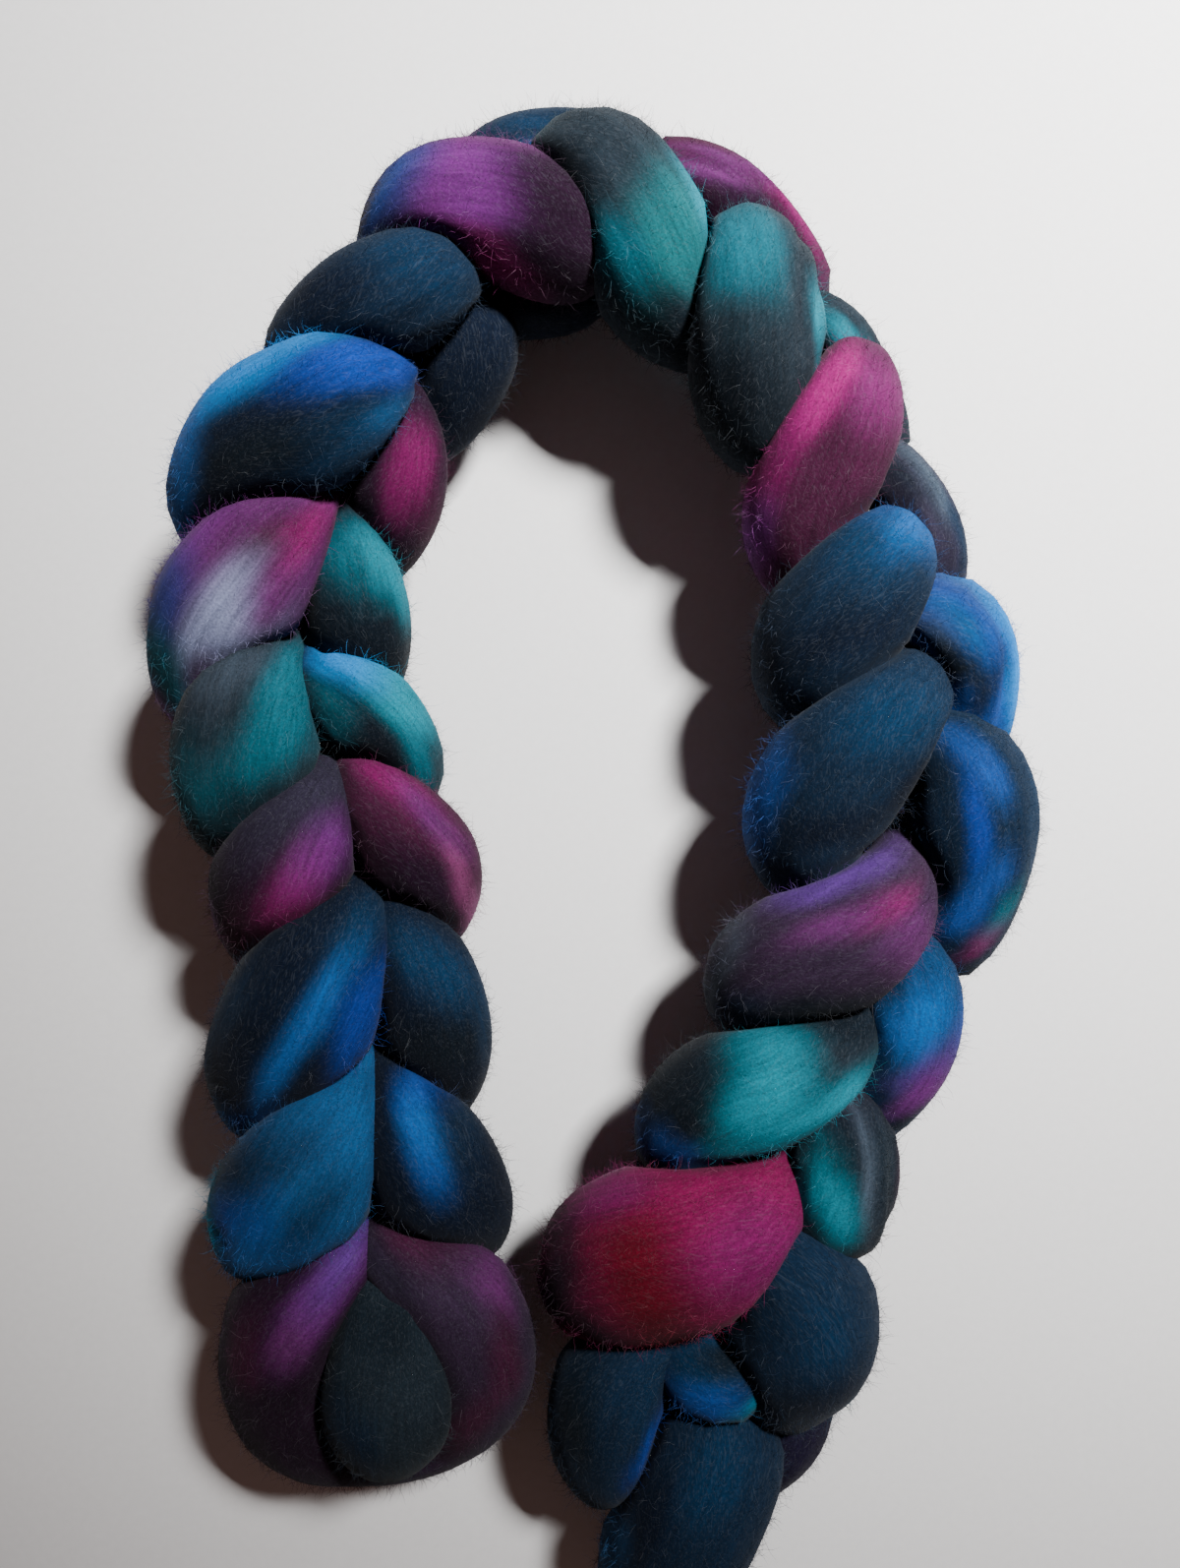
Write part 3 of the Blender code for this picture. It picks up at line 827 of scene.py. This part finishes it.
def wool_material(name):
    """Dyed wool: the painted dye, broken up by streaks, specks and patches."""
    material = bpy.data.materials.new(name)
    nodes = Nodes(material)
    place = nodes.add("ShaderNodeTexCoord").outputs["Object"]
    unrolled = nodes.add("ShaderNodeAttribute", attribute_name="unrolled").outputs["Vector"]
    dye = nodes.add("ShaderNodeAttribute", attribute_name="dye").outputs["Color"]
    streak = nodes.noise(nodes.scaled(unrolled, STREAK_SIZE), 3.0, 0.4)
    speckle = nodes.noise(nodes.scaled(place, (SPECKLE_SIZE,) * 3), 2.0)
    tint = nodes.noise(nodes.scaled(place, (TINT_SIZE,) * 3), 2.0)
    strength = nodes.math("MULTIPLY", nodes.level(streak, *NOISE_RANGE, *STREAK_SHADES),
                          nodes.level(speckle, *NOISE_RANGE, *SPECKLE_SHADES))
    strength = nodes.math("MULTIPLY", strength, nodes.level(tint, *NOISE_RANGE, *TINT_SHADES))
    stained = nodes.add("ShaderNodeVectorMath", ((0, dye), (3, strength)),
                        operation="SCALE").outputs[0]
    crossing = [nodes.noise(nodes.scaled(nodes.turned(unrolled, angles), CROSSING_SIZE), 1.0, 0.5)
                for angles in CROSSING_TURNS]
    fleck = nodes.level(nodes.math("MAXIMUM", *crossing), *CROSSING_RANGE, *CROSSING_SHADES)
    wool = nodes.mixed(fleck, stained, CROSSING_COLOUR)
    relief_height = nodes.math("ADD", nodes.math("MULTIPLY", streak, STREAK_RELIEF), speckle)
    bump = nodes.add("ShaderNodeBump", (("Strength", RELIEF_STRENGTH), ("Distance", RELIEF),
                     ("Height", relief_height))).outputs[0]
    nodes.surface({"Base Color": wool, "Normal": bump, "Roughness": 0.9, "Sheen Weight": 0.02,
                   "Sheen Roughness": 0.5, "Specular IOR Level": 0.1})
    return material


wool = wool_material("dyed_wool_fibres")
body.data.materials.append(wool)
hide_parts("roving_braid")
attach(body, "root")
print("material nodes:", len(wool.node_tree.nodes))

# %% [markdown]
# ## Loose fibres
#
# A woollen surface is never quite smooth. Short fibres stand off it at all angles, and longer
# ones stand further off and bend, which gives every lobe its soft outline. Each hair starts as a
# straight three-sided template. Arrays bend and place thousands of copies at once and join them
# into a few meshes. The roots are drawn at random, but with fixed seeds.

# %% One straight hair
def hair_template(segments):
    """Corners and faces of a closed three-sided hair, one unit long and one unit in radius."""
    bm = bmesh.new()
    bmesh.ops.create_circle(bm, cap_ends=True, radius=1.0, segments=3)
    edges = list(bm.edges)
    for _ in range(segments):
        grown = bmesh.ops.extrude_edge_only(bm, edges=edges)["geom"]
        verts = [part for part in grown if isinstance(part, bmesh.types.BMVert)]
        bmesh.ops.translate(bm, verts=verts, vec=(0.0, 0.0, 1.0 / segments))
        edges = [edge for edge in bm.edges if all(vert in verts for vert in edge.verts)]
    bmesh.ops.pointmerge(bm, verts=verts, merge_co=(0.0, 0.0, 1.0))
    bmesh.ops.recalc_face_normals(bm, faces=bm.faces)
    corners = np.array([vert.co[:] for vert in bm.verts])
    faces = [[vert.index for vert in face.verts] for face in bm.faces]
    bm.free()
    return corners, faces


for segments in (2, 3):
    corners, faces = hair_template(segments)
    print("hair of", segments, "segments:", len(corners), "corners,", len(faces), "faces")


# %% Where hairs grow
def mesh_values(mesh, name, kind, width):
    """A named attribute of a mesh as one row a corner."""
    values = np.empty(len(mesh.vertices) * width, dtype=np.float32)
    mesh.attributes[name].data.foreach_get(kind, values)
    return values.reshape(-1, width).astype(float)


def hair_roots(ob, count, rng):
    """Random spots on the open parts of an object: place, normal, grain and dye."""
    mesh = ob.data
    mesh.calc_loop_triangles()
    corners = np.array([tri.vertices[:] for tri in mesh.loop_triangles])
    spots = mesh_values(mesh, "position", "vector", 3)
    normals = np.array([vert.normal[:] for vert in mesh.vertices])
    first, second, third = spots[corners].transpose(1, 0, 2)
    areas = np.linalg.norm(np.cross(second - first, third - first), axis=1)
    weights = areas * mesh_values(mesh, "air", "value", 1)[corners].mean((1, 2))
    chosen = np.sort(rng.choice(len(corners), size=count, p=weights / weights.sum()))
    shares = rng.dirichlet((1.0, 1.0, 1.0), size=count)[:, :, None]
    layers = (spots, normals, mesh_values(mesh, "grain", "vector", 3),
              mesh_values(mesh, "dye", "color", 4)[:, :3])
    return [(layer[corners[chosen]] * shares).sum(1) for layer in layers]


def unit(vectors):
    return vectors / np.linalg.norm(vectors, axis=-1, keepdims=True)


# %% Joined copies of the hair
MAP_WIDTH = 0.35        # half the width of a hair on its cell of the map
MAP_ENDS = (0.1, 0.9)   # where on its cell a hair begins and ends


def joined_hairs(name, points, faces, heights):
    """One mesh of many bent hairs; points holds a row of corners for each hair."""
    hairs, count = points.shape[:2]
    loops = np.concatenate(faces)
    starts = np.cumsum([0] + [len(face) for face in faces[:-1]])
    shift_by = np.arange(hairs)[:, None]
    mesh = bpy.data.meshes.new(name)
    mesh.vertices.add(hairs * count)
    fill(mesh.vertices, "co", points)
    mesh.loops.add(hairs * len(loops))
    fill(mesh.loops, "vertex_index", loops + count * shift_by, np.int32)
    mesh.polygons.add(hairs * len(faces))
    fill(mesh.polygons, "loop_start", starts + len(loops) * shift_by, np.int32)
    mesh.update(calc_edges=True)
    cells = math.ceil(math.sqrt(hairs))
    column, row = np.arange(hairs) % cells, np.arange(hairs) // cells
    across_cell = 0.5 + MAP_WIDTH * np.cos(2 * math.pi * np.arange(count) / 3)
    uv = np.stack((column[:, None] + across_cell[loops], row[:, None] + heights[loops]), axis=-1)
    fill(mesh.uv_layers.new(name="OFBake").data, "uv", uv / cells)
    mesh.shade_smooth()
    return linked(name, mesh)


# %% The hairs
# lengths and radius in mm, tilts from the normal in degrees, bend and wave as shares of a length
HAIR_COLUMNS = ("name", "seed", "count", "segments", "shortest", "longest", "upright", "flattest",
                "bend", "wave", "radius")
HAIRS = (
    ("loose_hairs_1", 11, 12300, 3, 2.5, 6.5, 25, 80, 0.50, 0.10, 0.048),
    ("loose_hairs_2", 12, 12300, 3, 2.0, 5.0, 25, 82, 0.55, 0.12, 0.046),
    ("loose_hairs_3", 13, 12300, 3, 1.5, 4.0, 25, 80, 0.60, 0.12, 0.044),
    ("short_hairs_1", 14, 19500, 2, 1.2, 3.0, 20, 78, 0.40, 0.0, 0.044),
)
OUTWARDS = 0.3        # share of the normal in the direction that a hair bends about
TURN_SPREAD = 0.9     # how far hairs turn from the grain, as a standard deviation in radians
WAVES = 7.0           # how far along its wave a hair has come at its tip, in radians
TIP_THINNER = 0.5     # share of its thickness that a hair loses on the way to its tip
BRIGHTEST = 1.7       # dye of the brightest hair beside the wool's
PALEST = 0.06         # colour that the least dyed hair adds to it
FEW_PALE = 4          # power that keeps the pale hairs few


def grown_hairs(row):
    """One piece of fuzz from a row of the table."""
    rng = np.random.default_rng(row["seed"])
    count = row["count"]
    corners, faces = hair_template(row["segments"])
    spot, normal, grain, dye_here = hair_roots(body, count, rng)
    normal, grain = unit(normal), unit(grain)
    side = np.cross(normal, grain)
    turn = rng.normal(0.0, TURN_SPREAD, count)[:, None]
    flat = unit(grain * np.cos(turn) * rng.choice((-1.0, 1.0), count)[:, None]
                + side * np.sin(turn))
    tilt = np.radians(rng.uniform(row["upright"], row["flattest"], count))[:, None]
    ahead = unit(normal * np.cos(tilt) + flat * np.sin(tilt))
    spin = rng.uniform(0, 2 * math.pi, count)[:, None]
    first = unit(np.cross(ahead, side + OUTWARDS * normal))
    second = np.cross(ahead, first)
    curl = row["bend"] * (np.cos(spin) * first + np.sin(spin) * second)
    length = rng.uniform(row["shortest"], row["longest"], count)[:, None, None] * MM
    along_hair = corners[None, :, 2:3]
    phase = rng.uniform(0, 2 * math.pi, count)[:, None, None]
    waved = row["wave"] * np.sin(phase + WAVES * along_hair) * along_hair
    path = (along_hair * ahead[:, None] + along_hair ** 2 * curl[:, None]
            + waved * second[:, None])
    thick = row["radius"] * MM * (1.0 - TIP_THINNER * along_hair)
    points = (spot[:, None] + length * path + thick * (corners[None, :, 0:1] * first[:, None]
              + corners[None, :, 1:2] * second[:, None]))
    points[:, :, 2] = np.maximum(points[:, :, 2], 0.0)
    ob = joined_hairs(row["name"], points, faces, np.interp(corners[:, 2], (0.0, 1.0), MAP_ENDS))
    brighter = rng.uniform(1.0, BRIGHTEST, count)[:, None]
    undyed = PALEST * rng.uniform(0.0, 1.0, count)[:, None] ** FEW_PALE
    hair_dye = np.concatenate((dye_here * brighter + undyed, np.ones((count, 1))), axis=1)
    layer = ob.data.color_attributes.new("dye", "FLOAT_COLOR", "POINT")
    fill(layer.data, "color", np.repeat(hair_dye, len(corners), axis=0))
    return ob


def hair_material(name):
    """Single fibres: their own dye and nothing else."""
    material = bpy.data.materials.new(name)
    nodes = Nodes(material)
    dye = nodes.add("ShaderNodeAttribute", attribute_name="dye").outputs["Color"]
    nodes.surface({"Base Color": dye, "Roughness": 0.7, "Specular IOR Level": 0.3})
    return material


fibre = hair_material("single_fibres")
for values in HAIRS:
    row = dict(zip(HAIR_COLUMNS, values))
    hairs = grown_hairs(row)
    hairs.data.materials.append(fibre)
    hairs.visible_shadow = False      # a single fibre lets the light through
    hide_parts("roving_braid")
    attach(hairs, "root")
    low, high = hairs.bound_box[0], hairs.bound_box[6]
    print(row["name"], "triangles:", sum(len(p.vertices) - 2 for p in hairs.data.polygons),
          "z, mm:", round(low[2] / MM, 1), "to", round(high[2] / MM, 1))

# %% [markdown]
# ## Floor, light and camera
#
# The braid lies on plain pale paper. One soft light with a narrowed beam stands off to the upper
# right, so the floor grows darker away from its aim and the shadows fall to the lower left.

# %% Floor
FLOOR_HALF = 1.6      # half the floor's side, m
FLOOR_DROP = 0.0002   # how far the floor lies below the wool, m
GRAIN_SIZE = 0.0025   # size of one fleck of the paper's grain, m
PAPER_COLOURS = ((0.80, 0.79, 0.785, 1.0), (0.83, 0.82, 0.815, 1.0))


def paper_floor():
    """A flat sheet of pale paper with a faint grain."""
    bm = bmesh.new()
    bmesh.ops.create_grid(bm, x_segments=1, y_segments=1, size=FLOOR_HALF)
    bmesh.ops.translate(bm, verts=bm.verts, vec=(0.0, 0.0, -FLOOR_DROP))
    mesh = bpy.data.meshes.new("paper_floor")
    bm.to_mesh(mesh)
    bm.free()
    material = bpy.data.materials.new("pale_paper")
    nodes = Nodes(material)
    place = nodes.add("ShaderNodeTexCoord").outputs["Object"]
    grain = nodes.noise(nodes.scaled(place, (GRAIN_SIZE,) * 3), 3.0)
    shade = nodes.level(grain, *NOISE_RANGE, 0.0, 1.0)
    nodes.surface({"Base Color": nodes.mixed(shade, *PAPER_COLOURS), "Roughness": 0.85})
    mesh.materials.append(material)
    return linked("paper_floor", mesh)


floor = paper_floor()
floor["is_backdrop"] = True
print("floor, m:", 2 * FLOOR_HALF)

# %% Light
LIGHT_PLACE = (0.78, 0.98, 1.50)      # place of the light from the middle of the view, m
LIGHT_AIM = (0.30, 0.36, 0.0)         # the spot of the floor that it faces, m
LIGHT_SPREAD = math.radians(41)       # angle that its beam fills
LIGHT_SIZE = 0.32                     # side of the light, m
LIGHT_POWER = 12.5                    # W
ROOM_COLOUR = (1.0, 0.60, 0.52, 1.0)  # warm light off the walls of the room
ROOM_STRENGTH = 0.07

beam = Vector(LIGHT_AIM) - Vector(LIGHT_PLACE)
key = bpy.data.lights.new("key_light", "AREA")
key.shape = "SQUARE"
key.size = LIGHT_SIZE
key.spread = LIGHT_SPREAD
key.energy = LIGHT_POWER
key_object = linked("key_light", key)
key_object.location = Vector((shift[0], shift[1], 0.0)) * MM + Vector(LIGHT_PLACE)
key_object.rotation_euler = beam.to_track_quat("-Z", "Y").to_euler()

world = bpy.data.worlds.new("room")
world.use_nodes = True
background = world.node_tree.nodes["Background"]
background.inputs["Color"].default_value = ROOM_COLOUR
background.inputs["Strength"].default_value = ROOM_STRENGTH
bpy.context.scene.world = world
print("light at, m:", np.round(key_object.location, 2))

# %% Camera
CAMERA_HEIGHT = 371.0          # above the floor, mm
LENS = 27.1                    # mm, on a sensor 36 mm long

camera = bpy.data.cameras.new("camera")
camera.lens = LENS
camera.sensor_width = 36.0
camera_object = linked("camera", camera)
camera_object.location = Vector((shift[0], shift[1], CAMERA_HEIGHT)) * MM
bpy.context.scene.camera = camera_object
print("camera above, mm:", CAMERA_HEIGHT)

# %% Boxes and finish
seen_low, seen_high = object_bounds()
boxes = {"cad": [list(cad_low), list(cad_high)], "visual": [list(seen_low), list(seen_high)]}
for label, (low, high) in boxes.items():
    print(label, "box, mm:", [round((b - a) / MM, 1) for a, b in zip(low, high)])
